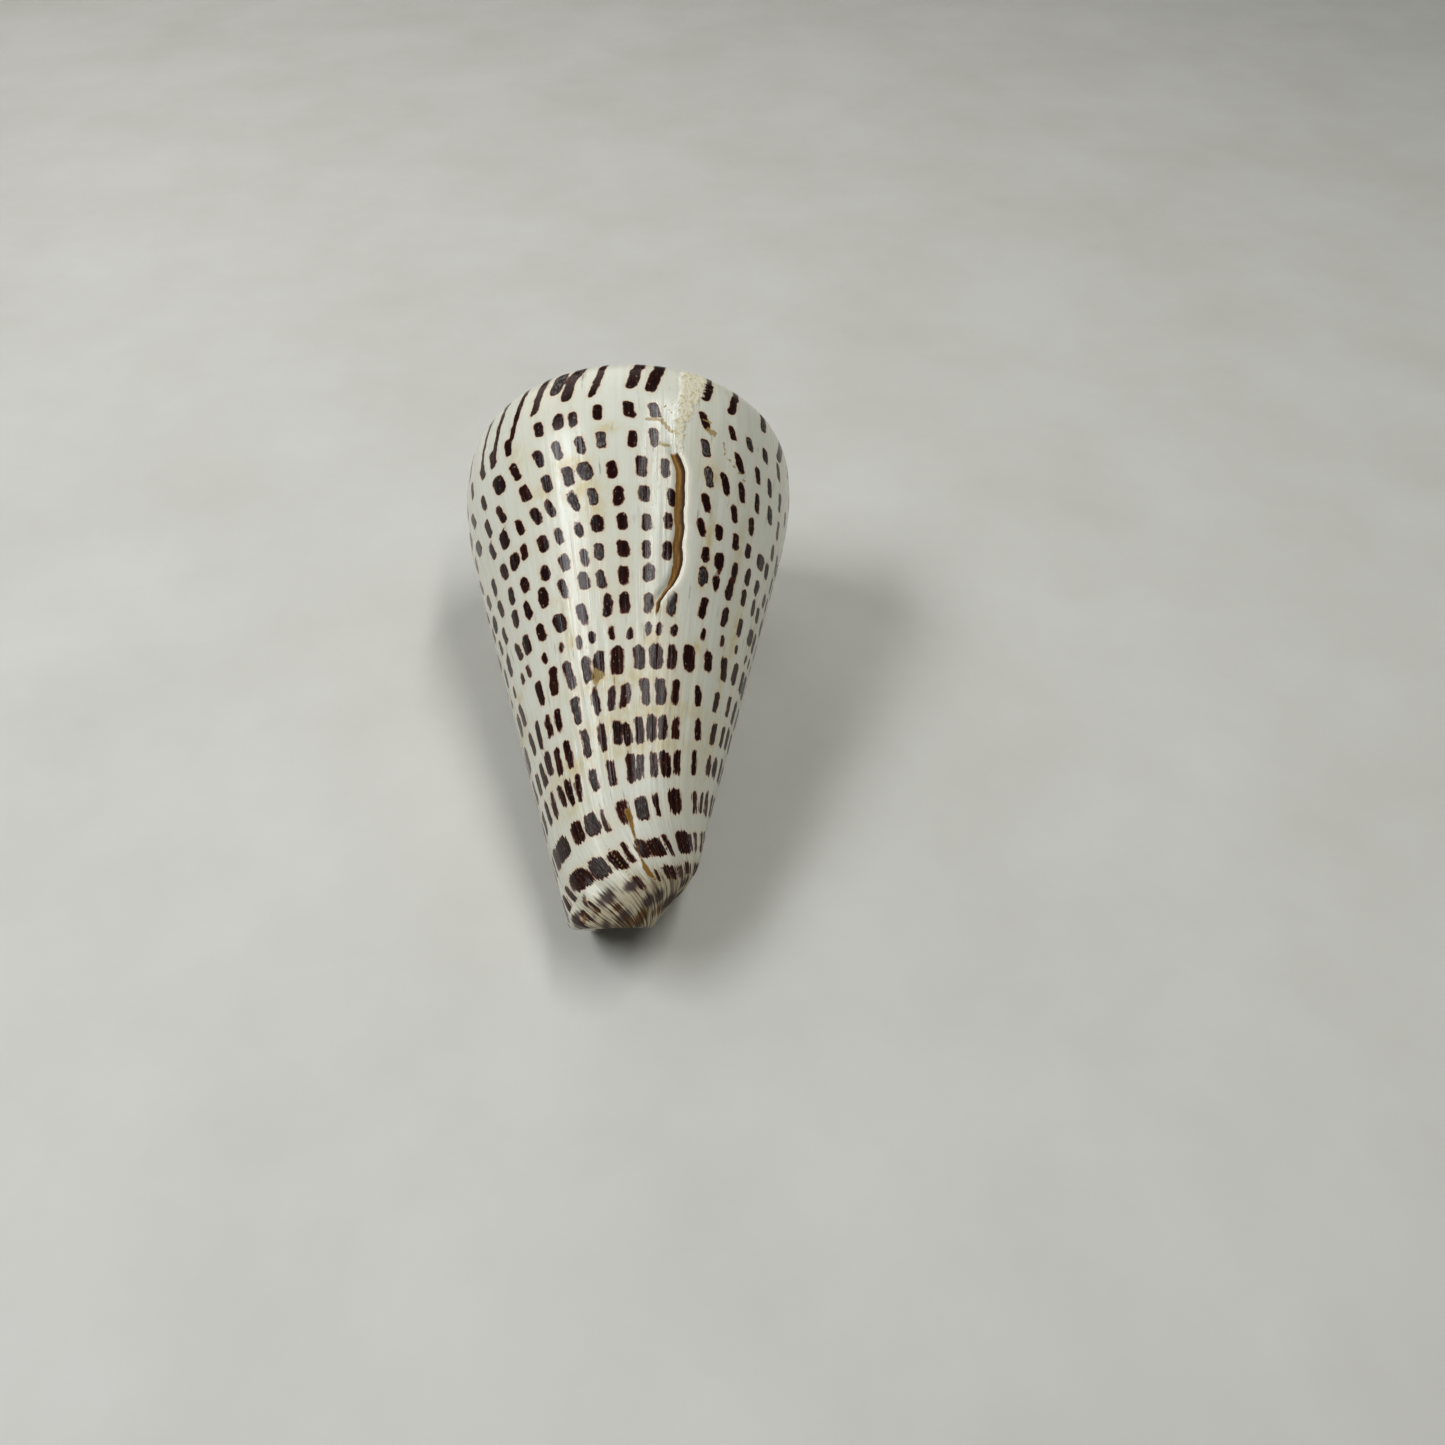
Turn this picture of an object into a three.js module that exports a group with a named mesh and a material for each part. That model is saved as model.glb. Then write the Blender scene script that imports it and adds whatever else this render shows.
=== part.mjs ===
// Cone shell lying on its opening. Millimetres, +Z up, the spire toward +Y, the narrow base toward -Y.
// The origin is under the middle of the bounding box, on the surface the shell rests on.
//
// The shell is one spiral sheet. Time is counted in turns: 0 at the outer lip, negative for older
// shell. One outline, given at the size it has at the lip, shrinks by GROWTH for every turn back.
// A point on the sheet is then a turn, a depth from the apex along the axis, and a radius.
import * as THREE from 'three';

// Growth of the spiral
const GROWTH = 1.2818;          // size of one turn over the turn before it
const SPIRE_TURNS = 7;          // turns back from the lip before the worn apex
const LIP_ANGLE = 139.4;        // degrees round the axis from the top of the shell to the lip

// Outline at the lip: a rounded shoulder, a straight taper, and a sharper taper at the base
const SHOULDER_RADIUS = 34.4;
const SHOULDER_DROP = 45.2;     // how far the rounding would fall short of the radius at depth 0
const SHOULDER_ROUND = 2.45;    // depth over which the rounding fades
const TAPER = { slope: 0.283, depth: 21, blend: 4.3 };
const BASE_TAPER = { slope: 0.75, depth: 106, blend: 1.2 };
const PILLAR_RADIUS = 1.7;      // columella, the pillar round the axis
const PILLAR_BLEND = 0.35;

// Places on the outline, as depths at the lip
const SUTURE_DEPTH = 5.9;       // where the next turn is attached
const OPENING_TOP = 7.4;        // where the inside of the opening starts
const SUTURE_GROOVE = 0.3;      // depth of the groove along the suture

// The flat worn end of the base leans toward the opening
const END_DEPTH = 98.4;
const END_LEAN = 0.26;          // depth gained per millimetre toward the top of the shell
const END_ROUND = 1.3;          // rounding of its outer edge

// Wall round the opening
const LIP_WALL = 1.6;
const THICK_WALL = 3.4;         // just inside the lip
const INNER_WALL = 2.2;         // deeper in
const CAVITY_ROOM = 0.6;        // least width of the cavity before it closes
const THICK_TURN = -0.14;       // where the wall is thickest
const LIP_BULGE = 0.4;          // rounding of the lip's rim over its wall

// Old break in the shell, healed: a line down the top, with a groove on its newer side
const BREAK_TURN = -0.439;      // mean place of the line
const BREAK_REACH = 0.09;       // turns over which the columns bend to follow it
const BREAK_PATH = [            // outline depth, and turns from the top of the shell
  [9, -0.050], [17, -0.046], [25, -0.041], [28, -0.044], [32, -0.053], [40, -0.055],
  [52, -0.057], [55, -0.040], [58, -0.032], [64, -0.030],
];
const BREAK_GROOVE = { depth: 0.65, width: 0.85, from: 28, to: 55 };
const BREAK_EDGE = 0.38;        // height of the older shell along the line
const BREAK_EDGE_FADE = 5;

// Oblique growth ridges on the fasciole, round the base
const FASCIOLE_START = 98;      // outline depth where growth lines begin to lean
const FASCIOLE_LEAN = 0.012;    // turns of lean per millimetre
const FASCIOLE_BLEND = 4;
const RIDGES = { perTurn: 14, height: 0.26 };

// Pose at rest
const REST_PITCH = 12.15;       // degrees, spire end up

// Grid
const COLUMNS_PER_TURN = 56;
const BREAK_COLUMNS = [0.0165, 0.0105, 0.007, 0.004, 0.0015, -0.0006, -0.0035, -0.010, -0.018];
const SHELF_ROWS = 4;
const NOTCH_ROWS = 3;
const SIDE_ROWS = 26;
const CAVITY_TURNS = [
  0, 0.015, 0.035, 0.06, 0.095, 0.14, 0.20, 0.27, 0.34, 0.41, 0.48, 0.55, 0.62, 0.69, 0.76,
];

const SUTURE_ROW = SHELF_ROWS;
const OPENING_ROW = SHELF_ROWS + NOTCH_ROWS;
const END_ROW = OPENING_ROW + SIDE_ROWS;
const TOP_TURN = -LIP_ANGLE / 360;
const PITCH = THREE.MathUtils.degToRad(REST_PITCH);

const { clamp, smoothstep } = THREE.MathUtils;

function softStep(x, blend) {
  // Zero below 0 and x above it, with a rounded corner.
  const u = x / blend;
  return blend * (u > 30 ? u : Math.log1p(Math.exp(u)));
}

function outlineRadius(depth) {
  return SHOULDER_RADIUS
    - SHOULDER_DROP * Math.exp(-depth / SHOULDER_ROUND)
    - TAPER.slope * softStep(depth - TAPER.depth, TAPER.blend)
    - BASE_TAPER.slope * softStep(depth - BASE_TAPER.depth, BASE_TAPER.blend);
}

function angleAt(turn) {
  return 2 * Math.PI * (turn - TOP_TURN);
}

function pathValue(path, x) {
  // Straight interpolation in a list of pairs.
  if (x <= path[0][0]) return path[0][1];
  for (let k = 1; k < path.length; k++) {
    if (x <= path[k][0]) {
      const [x0, y0] = path[k - 1];
      const [x1, y1] = path[k];
      return y0 + (y1 - y0) * (x - x0) / (x1 - x0);
    }
  }
  return path[path.length - 1][1];
}

function relief(turn, outlineDepth) {
  // Height of the healed break and of the fasciole ridges over the plain sheet.
  if (turn < -1) return 0;
  const fade = smoothstep(turn, -0.99, -0.9) * (1 - smoothstep(turn, -0.08, -0.01));
  const line = TOP_TURN + pathValue(BREAK_PATH, outlineDepth);
  const off = (turn - line) * 2 * Math.PI * outlineRadius(clamp(outlineDepth, 12, 80));
  const grooveZone = smoothstep(outlineDepth, BREAK_GROOVE.from - 3, BREAK_GROOVE.from + 3)
    * (1 - smoothstep(outlineDepth, BREAK_GROOVE.to - 3, BREAK_GROOVE.to + 4));
  const edgeZone = smoothstep(outlineDepth, 6.5, 10)
    * (1 - smoothstep(outlineDepth, BREAK_GROOVE.to - 2, BREAK_GROOVE.to + 8));
  const across = (off - 0.9) / BREAK_GROOVE.width;
  const groove = -BREAK_GROOVE.depth * grooveZone * Math.exp(-(across ** 2));
  const older = off < 0 ? Math.exp(off / BREAK_EDGE_FADE) : Math.exp(-((off / 0.35) ** 2));
  const edge = BREAK_EDGE * edgeZone * older;
  const lean = FASCIOLE_LEAN * softStep(outlineDepth - FASCIOLE_START, FASCIOLE_BLEND);
  const ridgeZone = smoothstep(outlineDepth, 95, 103) * (1 - smoothstep(outlineDepth, 112, 117));
  const wave = Math.sin(2 * Math.PI * RIDGES.perTurn * (turn + lean));
  return groove + edge + RIDGES.height * ridgeZone * fade * wave;
}

function plainRadius(turn, depth) {
  // The spiral sheet, never thinner than the pillar.
  const scale = GROWTH ** turn;
  const r = scale * outlineRadius(depth / scale);
  return PILLAR_RADIUS + softStep(r - PILLAR_RADIUS, PILLAR_BLEND);
}

function endDepth(turn, radius) {
  return END_DEPTH + END_LEAN * radius * Math.cos(angleAt(turn));
}

function endPoint(turn) {
  // Radius and depth where the sheet meets the flat end.
  let depth = END_DEPTH;
  for (let k = 0; k < 30; k++) depth = endDepth(turn, plainRadius(turn, depth));
  return { r: plainRadius(turn, depth), depth };
}

function shelfPoint(u) {
  // Flat top of a turn at the size of the lip, from the suture (0) to the next suture (1).
  const outer = new THREE.Vector2(outlineRadius(SUTURE_DEPTH), SUTURE_DEPTH);
  const inner = outer.clone().divideScalar(GROWTH);
  const slope = (outlineRadius(SUTURE_DEPTH + 0.01) - outlineRadius(SUTURE_DEPTH - 0.01)) / 0.02;
  const along = new THREE.Vector2(slope, 1).normalize();
  const leave = inner.clone().add(new THREE.Vector2(1.7, 0.2));
  const arrive = outer.clone().addScaledVector(along, -3);
  return new THREE.CubicBezierCurve(inner, leave, arrive, outer).getPoint(u);
}

function sidePortion(row) {
  // Rows lie closer at the shoulder and at the base.
  const x = (row - OPENING_ROW) / SIDE_ROWS;
  return x - 0.45 * Math.sin(2 * Math.PI * x) / (2 * Math.PI);
}

function sheet(turn, row, bottom = endPoint(turn).depth) {
  // Radius and depth of the outside of the sheet. Rows run from the suture down to the bottom.
  const scale = GROWTH ** turn;
  if (row <= SUTURE_ROW) {
    const p = shelfPoint(row / SHELF_ROWS).multiplyScalar(scale);
    const groove = row === SUTURE_ROW ? SUTURE_GROOVE * scale * smoothstep(-turn, 1, 1.06) : 0;
    return { r: p.x, depth: p.y + groove };
  }
  let depth;
  let rounding = 0;
  if (row <= OPENING_ROW) {
    depth = scale * (SUTURE_DEPTH + (OPENING_TOP - SUTURE_DEPTH) * (row - SUTURE_ROW) / NOTCH_ROWS);
  } else {
    const portion = sidePortion(row);
    depth = scale * OPENING_TOP * (1 - portion) + bottom * portion;
    const end = endPoint(turn);
    const near = clamp(1 - (end.depth - depth) / END_ROUND, 0, 1);
    rounding = END_ROUND * Math.min(0.75, end.r / 10) * (1 - Math.sqrt(1 - near * near));
  }
  const r = plainRadius(turn, depth) + relief(turn, depth / scale) - rounding;
  return { r, depth };
}

function wallAt(turn) {
  const thick = (THICK_WALL - INNER_WALL) * Math.exp(-(((turn - THICK_TURN) / 0.14) ** 2));
  const thinLip = 0.8 * (THICK_WALL - LIP_WALL) * Math.exp(turn / 0.03);
  return INNER_WALL + thick - thinLip;
}

function cavityBottom(turn) {
  // Depth where the cavity closes, or the flat end where there is room for it to stay open.
  const end = endPoint(turn).depth;
  const room = (depth) => plainRadius(turn, depth) - wallAt(turn) - plainRadius(turn - 1, depth);
  if (room(end) > CAVITY_ROOM) return end;
  let low = 60;
  let high = end;
  for (let k = 0; k < 40; k++) {
    const middle = (low + high) / 2;
    if (room(middle) > CAVITY_ROOM) low = middle;
    else high = middle;
  }
  return low;
}

function innerSheet(turn, row) {
  // Inside of the wall: the sheet moved inward, and kept off the older turn.
  const bottom = cavityBottom(turn);
  const here = sheet(turn, row, bottom);
  const wall = wallAt(turn);
  let r;
  let depth;
  if (row === END_ROW) {
    r = here.r - wall;
    depth = endDepth(turn, r);
  } else {
    const before = sheet(turn, Math.max(row - 1, 0), bottom);
    const after = sheet(turn, row + 1, bottom);
    const along = new THREE.Vector2(after.r - before.r, after.depth - before.depth).normalize();
    r = here.r - wall * along.y;
    depth = here.depth + wall * along.x;
  }
  const older = plainRadius(turn - 1, depth) + 0.3 * Math.min(row / 3, 1);
  return { r: Math.max(r, older), depth };
}

function place(turn, { r, depth }) {
  // From turn, radius and depth to the rest pose, with the apex at the origin.
  const x = -r * Math.sin(angleAt(turn));
  const rise = r * Math.cos(angleAt(turn));
  return new THREE.Vector3(
    x,
    -depth * Math.cos(PITCH) - rise * Math.sin(PITCH),
    -depth * Math.sin(PITCH) + rise * Math.cos(PITCH),
  );
}

function columnTurns() {
  // Column places in the last turn, from -1 to 0, packed round the healed break.
  const even = Array.from({ length: COLUMNS_PER_TURN + 1 }, (_, j) => -1 + j / COLUMNS_PER_TURN);
  const kept = even.filter((turn) => Math.abs(turn - BREAK_TURN) > 0.027);
  return kept.concat(BREAK_COLUMNS.map((off) => BREAK_TURN + off)).sort((a, b) => a - b);
}

const COLUMNS = columnTurns();
const LAST = COLUMNS.length - 1;
const CAVITY_LAST = CAVITY_TURNS.length - 1;
// The last cavity column that is still open at the flat end
const OPEN_LAST = CAVITY_TURNS.findLastIndex((back) => cavityBottom(-back) === endPoint(-back).depth);

function bentTurn(column, row) {
  // Columns near the break bend sideways so that they follow its line.
  const turn = COLUMNS[column];
  if (row <= SUTURE_ROW || row >= END_ROW) return turn;
  const depth = sheet(turn, row).depth / GROWTH ** turn;
  const shift = TOP_TURN + pathValue(BREAK_PATH, depth) - BREAK_TURN;
  const zone = smoothstep(depth, 6, 9) * (1 - smoothstep(depth, 60, 80));
  const reach = clamp(1 - Math.abs(turn - BREAK_TURN) / BREAK_REACH, 0, 1);
  return turn + shift * zone * smoothstep(reach, 0, 0.75);
}

class Skin {
  // Points shared by name, and the triangles between them.
  constructor() {
    this.points = [];
    this.ids = new Map();
    this.faces = [];
  }

  point(name, make) {
    if (!this.ids.has(name)) {
      this.ids.set(name, this.points.length);
      this.points.push(make());
    }
    return this.ids.get(name);
  }

  triangle(a, b, c) {
    if (a !== b && b !== c && c !== a) this.faces.push([a, b, c]);
  }

  quad(a, b, c, d) {
    this.triangle(a, b, c);
    this.triangle(a, c, d);
  }
}

const skin = new Skin();

// Names of the points. Seams are shared by answering with the neighbour's point.
function outside(back, column, row) {
  // back counts whole turns before the last one. Each turn starts where the one before ends.
  if (column === 0 && back + 1 < SPIRE_TURNS) return outside(back + 1, LAST, row);
  if (row === 0 && back + 1 < SPIRE_TURNS) return outside(back + 1, column, SUTURE_ROW);
  if (row === 0 && column === LAST) return outside(back, 0, SUTURE_ROW);
  return skin.point(`outside ${back} ${column} ${row}`, () => {
    const turn = (back === 0 ? bentTurn(column, row) : COLUMNS[column]) - back;
    return place(turn, sheet(turn, row));
  });
}

function olderWall(k, row) {
  // Inner wall of the cavity: the outside of the older turn.
  if (k === 0) return lipFoot(row);
  const turn = -1 - CAVITY_TURNS[k];
  const bottom = k > OPEN_LAST ? cavityBottom(turn + 1) : endPoint(turn).depth;
  return skin.point(`older ${k} ${row}`, () => place(turn, sheet(turn, row, bottom)));
}

function lipFoot(row) {
  // Where the last turn starts, under the lip.
  if (row <= SUTURE_ROW) return outside(0, 0, row);
  return skin.point(`foot ${row}`, () => place(-1, sheet(-1, row)));
}

function newerWall(k, row) {
  // Outer wall of the cavity.
  if (row === 0) return olderWall(k, OPENING_ROW);
  if (row === END_ROW && k > OPEN_LAST) return olderWall(k, END_ROW);
  const turn = -CAVITY_TURNS[k];
  return skin.point(`newer ${k} ${row}`, () => place(turn, innerSheet(turn, row)));
}

function body(column, row) {
  return column === 0 ? lipFoot(row) : outside(0, column, row);
}

function rim(k, row) {
  // Rounded edge of the lip, from the outside (0) to the inside (NOTCH_ROWS).
  if (k === 0) return body(LAST, row);
  if (k === NOTCH_ROWS) return newerWall(0, row);
  if (row === 0) return lipFoot(SUTURE_ROW + k);
  return skin.point(`rim ${k} ${row}`, () => {
    const a = skin.points[body(LAST, row)];
    const b = skin.points[newerWall(0, row)];
    const across = k / NOTCH_ROWS;
    const middle = a.clone().lerp(b, 0.5 - 0.5 * Math.cos(Math.PI * across));
    const forward = new THREE.Vector3().subVectors(
      place(0.001, { r: 1, depth: 0 }),
      place(0, { r: 1, depth: 0 }),
    ).normalize();
    return middle.addScaledVector(forward, a.distanceTo(b) * LIP_BULGE * Math.sin(Math.PI * across));
  });
}

function buildOutside() {
  for (let column = 0; column < LAST; column++) {
    for (let row = 0; row < END_ROW; row++) {
      skin.quad(
        body(column, row), body(column + 1, row),
        body(column + 1, row + 1), body(column, row + 1),
      );
    }
  }
}

function buildSpire() {
  for (let back = 1; back < SPIRE_TURNS; back++) {
    for (let column = 0; column < LAST; column++) {
      for (let row = 0; row < SUTURE_ROW; row++) {
        skin.quad(
          outside(back, column, row), outside(back, column + 1, row),
          outside(back, column + 1, row + 1), outside(back, column, row + 1),
        );
      }
    }
  }
  // The worn apex closes the first turn with a low cap.
  const first = SPIRE_TURNS - 1;
  const ring = [];
  for (let row = SUTURE_ROW; row > 0; row--) ring.push(outside(first, 0, row));
  for (let column = 0; column < LAST; column++) ring.push(outside(first, column, 0));
  const apex = skin.point('apex', () => {
    const depth = 0.8 * sheet(-SPIRE_TURNS, 0).depth;
    return place(0, { r: 0, depth });
  });
  ring.forEach((id, k) => skin.triangle(apex, ring[(k + 1) % ring.length], id));
}

function buildCavity() {
  for (let k = 0; k < CAVITY_LAST; k++) {
    for (let row = OPENING_ROW; row < END_ROW; row++) {
      skin.quad(
        olderWall(k + 1, row), olderWall(k, row),
        olderWall(k, row + 1), olderWall(k + 1, row + 1),
      );
    }
    for (let row = 0; row < END_ROW; row++) {
      skin.quad(
        newerWall(k + 1, row), newerWall(k + 1, row + 1),
        newerWall(k, row + 1), newerWall(k, row),
      );
    }
  }
  for (let k = 0; k < NOTCH_ROWS; k++) {
    for (let row = 0; row < END_ROW; row++) {
      skin.quad(rim(k, row), rim(k + 1, row), rim(k + 1, row + 1), rim(k, row + 1));
    }
  }
  skin.triangle(
    olderWall(OPEN_LAST + 1, END_ROW), olderWall(OPEN_LAST, END_ROW), newerWall(OPEN_LAST, END_ROW),
  );
  // The far end of the cavity joins the two walls, a step on the one that is behind.
  const olderAt = (row) => olderWall(CAVITY_LAST, row);
  const newerAt = (row) => newerWall(CAVITY_LAST, row);
  let newer = 0;
  let older = OPENING_ROW;
  while (newer < END_ROW || older < END_ROW) {
    const newerNext = (newer + 1) / END_ROW;
    const olderNext = (older + 1 - OPENING_ROW) / SIDE_ROWS;
    if (older >= END_ROW || (newer < END_ROW && newerNext <= olderNext)) {
      skin.triangle(olderAt(older), newerAt(newer + 1), newerAt(newer));
      newer += 1;
    } else {
      skin.triangle(olderAt(older), olderAt(older + 1), newerAt(newer));
      older += 1;
    }
  }
}

function buildEnd() {
  // The flat end: one outline round the sheet, the pillar, the cavity and the lip.
  const loop = [];
  for (let column = LAST; column >= 0; column--) loop.push(body(column, END_ROW));
  for (let k = 1; k <= OPEN_LAST; k++) loop.push(olderWall(k, END_ROW));
  for (let k = OPEN_LAST; k >= 0; k--) loop.push(newerWall(k, END_ROW));
  for (let k = NOTCH_ROWS - 1; k > 0; k--) loop.push(rim(k, END_ROW));
  const flat = loop.map((id) => {
    const p = skin.points[id];
    return new THREE.Vector2(p.x, -p.y * Math.sin(PITCH) + p.z * Math.cos(PITCH));
  });
  const faces = THREE.ShapeUtils.triangulateShape(flat, []);
  const area = (a, b, c) => (b.x - a.x) * (c.y - a.y) - (c.x - a.x) * (b.y - a.y);
  const facesArea = faces.reduce((sum, [a, b, c]) => sum + area(flat[a], flat[b], flat[c]), 0);
  const sameWay = facesArea * THREE.ShapeUtils.area(flat) > 0;
  faces.forEach(([a, b, c]) => {
    // The end runs round against the loop, so that it meets the sheet edge to edge.
    if (sameWay) skin.triangle(loop[a], loop[c], loop[b]);
    else skin.triangle(loop[a], loop[b], loop[c]);
  });
}

function shellGeometry() {
  buildOutside();
  buildSpire();
  buildCavity();
  buildEnd();
  const geometry = new THREE.BufferGeometry().setFromPoints(skin.points);
  geometry.setIndex(skin.faces.flat());
  geometry.computeBoundingBox();
  const { min, max } = geometry.boundingBox;
  geometry.translate(-(min.x + max.x) / 2, -(min.y + max.y) / 2, -min.z);
  geometry.computeVertexNormals();
  return geometry;
}

const porcelain = new THREE.MeshStandardMaterial({ color: 0xe9e4d8, roughness: 0.28, metalness: 0 });
const shell = new THREE.Mesh(shellGeometry(), porcelain);
shell.name = 'shell';

const group = new THREE.Group();
group.add(shell);
export default group;
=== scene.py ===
"""A cone shell lying on its opening on a pale table, seen from above its narrow end.

Blender works in metres. The shell is worked out in millimetres, in the frame of its own spiral:
turns (0 at the lip, negative for older shell) and depth from the apex along the axis.
"""
import math

import bmesh
import bpy
import numpy as np
from mathutils import Matrix, Vector


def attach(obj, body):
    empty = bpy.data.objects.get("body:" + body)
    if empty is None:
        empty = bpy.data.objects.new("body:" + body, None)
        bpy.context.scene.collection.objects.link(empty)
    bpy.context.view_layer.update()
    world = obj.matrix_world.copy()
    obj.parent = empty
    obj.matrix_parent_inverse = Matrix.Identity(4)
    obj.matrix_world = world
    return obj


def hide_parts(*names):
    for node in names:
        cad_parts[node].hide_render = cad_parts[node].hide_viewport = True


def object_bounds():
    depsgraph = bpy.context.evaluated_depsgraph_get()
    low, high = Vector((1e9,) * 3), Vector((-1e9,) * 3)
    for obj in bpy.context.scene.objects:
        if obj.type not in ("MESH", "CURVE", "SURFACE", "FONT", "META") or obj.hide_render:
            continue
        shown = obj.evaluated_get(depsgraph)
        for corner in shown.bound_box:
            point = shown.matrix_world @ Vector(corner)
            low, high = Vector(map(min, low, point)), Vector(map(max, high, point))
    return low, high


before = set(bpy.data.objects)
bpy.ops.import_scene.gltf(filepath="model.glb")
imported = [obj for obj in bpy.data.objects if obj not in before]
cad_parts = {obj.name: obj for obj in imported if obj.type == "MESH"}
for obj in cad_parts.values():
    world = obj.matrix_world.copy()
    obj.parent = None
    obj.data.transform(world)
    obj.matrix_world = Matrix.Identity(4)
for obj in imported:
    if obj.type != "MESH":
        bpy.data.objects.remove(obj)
CAD_BOX = [list(corner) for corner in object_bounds()]
MM = 0.001

# Growth of the spiral
GROWTH = 1.2818
SPIRE_TURNS = 13
LIP_ANGLE = 139.4
TOP_TURN = -LIP_ANGLE / 360

# Outline at the lip
SHOULDER_RADIUS = 34.4
SHOULDER_DROP = 45.2
SHOULDER_ROUND = 2.45
TAPER = dict(slope=0.283, depth=21.0, blend=4.3)
BASE_TAPER = dict(slope=0.75, depth=106.0, blend=1.2)
PILLAR_RADIUS = 1.7
PILLAR_BLEND = 0.35
SUTURE_DEPTH = 5.9
OPENING_TOP = 7.4
SUTURE_GROOVE = 0.3
END_DEPTH = 98.4
END_LEAN = 0.26
END_ROUND = 1.3

# Wall round the opening
LIP_WALL = 1.6
THICK_WALL = 3.4
INNER_WALL = 2.2
CAVITY_ROOM = 0.6
THICK_TURN = -0.14
LIP_BULGE = 0.4
CAVITY_REACH = 0.76

# Healed break down the top, as outline depth and turns from the top of the shell. Its points were
# read off the photograph by eye, turned into these by a separate script, and then moved by hand.
BREAK_TURN = -0.439
BREAK_REACH = 0.09
BREAK_PATH = (
    (9, -0.050), (17, -0.046), (25, -0.041), (28, -0.044), (32, -0.053), (40, -0.055),
    (52, -0.057), (55, -0.040), (58, -0.032), (64, -0.030),
)
BREAK_GROOVE = dict(depth=0.65, width=0.85, start=28, stop=55)
BREAK_EDGE = 0.38
BREAK_EDGE_FADE = 5.0

# Oblique growth ridges round the base
FASCIOLE_START = 98.0
FASCIOLE_LEAN = 0.012
FASCIOLE_BLEND = 4.0
RIDGES_PER_TURN = 14
RIDGE_HEIGHT = 0.26

# Pose at rest, and where the apex lies in the part's frame
REST_PITCH = math.radians(12.15)
APEX_PLACE = (1.917, 49.144, 30.021)
SURFACE_INSET = 0.05            # keeps the smooth surface inside the faceted solid's box

# Grid
COLUMNS = 370
SHELF_ROWS = 10
NOTCH_ROWS = 5
SIDE_ROWS = 140
CAVITY_COLUMNS = 40
SUTURE_ROW = SHELF_ROWS
OPENING_ROW = SHELF_ROWS + NOTCH_ROWS
END_ROW = OPENING_ROW + SIDE_ROWS


def soft_step(x, blend):
    """Zero below 0 and x above it, with a rounded corner as wide as blend."""
    return blend * np.logaddexp(0, x / blend)


def smooth(x, low, high):
    """Zero at low, one at high, with the usual cubic between them."""
    u = np.clip((x - low) / (high - low), 0, 1)
    return u * u * (3 - 2 * u)


def path_value(path, x):
    """Straight interpolation in a list of pairs."""
    pairs = np.array(path)
    return np.interp(x, pairs[:, 0], pairs[:, 1])


def outline_radius(depth):
    """Rounded shoulder that closes in on a straight taper, then a sharper taper at the base."""
    return (
        SHOULDER_RADIUS
        - SHOULDER_DROP * np.exp(-depth / SHOULDER_ROUND)
        - TAPER["slope"] * soft_step(depth - TAPER["depth"], TAPER["blend"])
        - BASE_TAPER["slope"] * soft_step(depth - BASE_TAPER["depth"], BASE_TAPER["blend"])
    )


def growth_lean(depth):
    """Turns by which growth lines lean over the fasciole."""
    return FASCIOLE_LEAN * soft_step(depth - FASCIOLE_START, FASCIOLE_BLEND)


def break_line(depth):
    """Turns from the lip to the break: its path averaged over 3 mm, so that the corners are round,
    and made ragged by three sine waves of the depth, more so near the shoulder."""
    path = sum(path_value(BREAK_PATH, depth + step) for step in (-1.5, -0.5, 0.5, 1.5)) / 4
    ragged = 0.10 * np.sin(1.1 * depth + 1) + 0.06 * np.sin(2.9 * depth) + 0.08 * np.sin(7.3 * depth + 2)
    ragged = ragged * (2.2 - 1.2 * smooth(depth, 24, 32))
    return TOP_TURN + path + ragged / (2 * np.pi * outline_radius(np.clip(depth, 12, 80)))


def break_offset(turn, depth):
    """Millimetres from the line of the break, positive on the newer side."""
    return (turn - break_line(depth)) * 2 * np.pi * outline_radius(np.clip(depth, 12, 80))


def relief(turn, depth):
    """Height of the healed break and of the fasciole ridges over the plain sheet."""
    fade = smooth(turn, -0.99, -0.9) * (1 - smooth(turn, -0.08, -0.01))
    off = break_offset(turn, depth)
    start, stop = BREAK_GROOVE["start"], BREAK_GROOVE["stop"]
    groove_zone = smooth(depth, start - 3, start + 3) * (1 - smooth(depth, stop - 3, stop + 4))
    edge_zone = smooth(depth, 6.5, 10) * (1 - smooth(depth, stop - 2, stop + 8))
    across = (off - 0.9) / BREAK_GROOVE["width"]
    groove = -BREAK_GROOVE["depth"] * groove_zone * np.exp(-across ** 2)
    older = np.where(off < 0, np.exp(np.minimum(off, 0) / BREAK_EDGE_FADE), np.exp(-(off / 0.35) ** 2))
    ridge_zone = smooth(depth, 95, 103) * (1 - smooth(depth, 112, 117))
    wave = np.sin(2 * np.pi * RIDGES_PER_TURN * (turn + growth_lean(depth)))
    height = groove + BREAK_EDGE * edge_zone * older + RIDGE_HEIGHT * ridge_zone * fade * wave
    return np.where(turn < -1, 0, height)


def plain_radius(turn, depth):
    """The outline scaled to its turn, never thinner than the pillar."""
    scale = GROWTH ** turn
    r = scale * outline_radius(depth / scale)
    return PILLAR_RADIUS + soft_step(r - PILLAR_RADIUS, PILLAR_BLEND)


def end_depth(turn, radius):
    """Depth of the flat worn end, which leans toward the opening."""
    return END_DEPTH + END_LEAN * radius * np.cos(2 * np.pi * (turn - TOP_TURN))


def end_point(turn):
    """Radius and depth where the sheet meets the flat end, by repeated substitution."""
    depth = np.full(np.shape(turn), END_DEPTH)
    for _ in range(30):
        depth = end_depth(turn, plain_radius(turn, depth))
    return plain_radius(turn, depth), depth


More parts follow.
